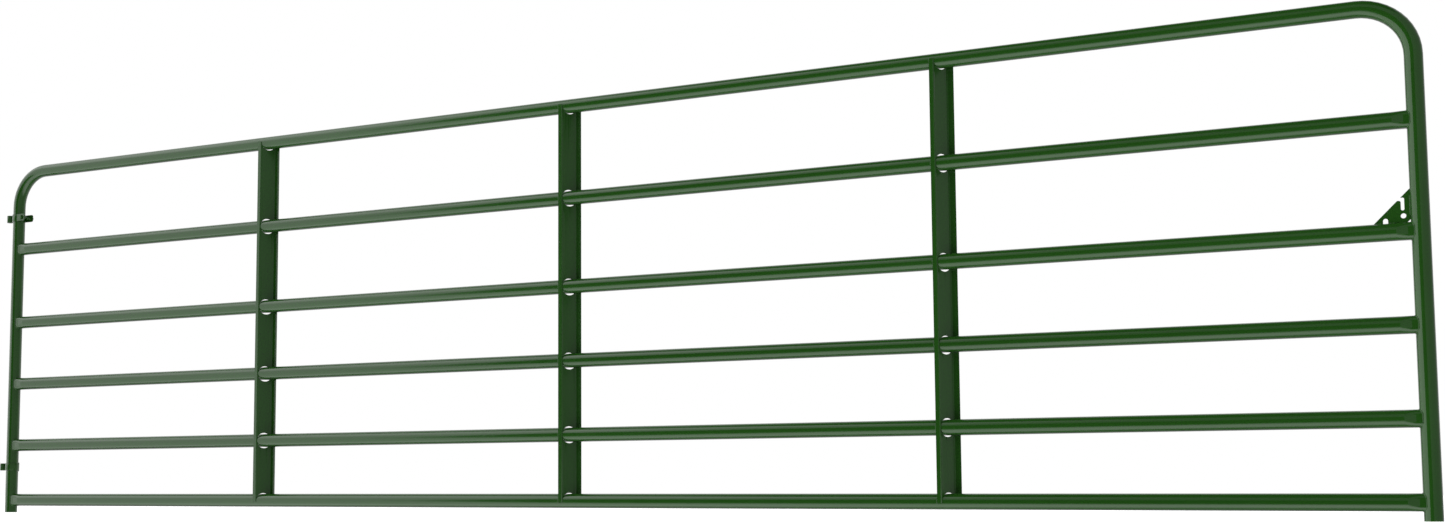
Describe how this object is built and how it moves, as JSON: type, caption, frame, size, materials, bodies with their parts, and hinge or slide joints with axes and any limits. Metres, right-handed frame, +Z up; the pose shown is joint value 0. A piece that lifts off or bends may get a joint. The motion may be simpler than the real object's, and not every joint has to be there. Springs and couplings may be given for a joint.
{
  "type": "livestock panel gate",
  "caption": "Welded tubular livestock gate: a bent tube frame with horizontal rails, folded upright braces, two hinge eyes on one post and a slotted chain latch plate on the other.",
  "frame": {"origin": "middle of the lower hinge's eye, on the line about which the gate swings", "axes": "+X along the gate from the hinges to the latch, +Y through the gate from front to back, +Z up, along the hinge line"},
  "size_m": [4.914, 0.0632, 1.307],
  "materials": {
    "gate_paint": "semi-gloss dark green powder coat",
    "weld_paint": "dark green powder coat over weld beads",
    "strap_paint": "semi-gloss dark green powder coat",
    "hardware_paint": "dark green coating over threads and hexagons"
  },
  "bodies": {
    "gate": {"frame_tube": "gate_paint", "rail_second": "gate_paint", "rail_third": "gate_paint", "rail_fourth": "gate_paint", "rail_fifth": "gate_paint", "rail_bottom": "gate_paint", "brace_left": "gate_paint", "brace_left_welds": "weld_paint", "brace_centre": "gate_paint", "brace_centre_welds": "weld_paint", "brace_right": "gate_paint", "brace_right_welds": "weld_paint", "hinge_post_welds": "weld_paint", "latch_post_welds": "weld_paint", "latch_plate": "gate_paint", "latch_plate_welds": "weld_paint", "lower_hinge": "strap_paint", "lower_hinge_welds": "weld_paint"},
    "upper_hinge_clamp": {"upper_hinge": "strap_paint", "upper_hinge_bolt": "hardware_paint", "upper_hinge_washer": "hardware_paint", "upper_hinge_nut": "hardware_paint"}
  },
  "joints": [
    {"name": "upper_hinge_height", "type": "slide", "parent": "gate", "child": "upper_hinge_clamp", "axis": [0, 0, 1], "range_m": [-0.075, 0.028]}
  ]
}
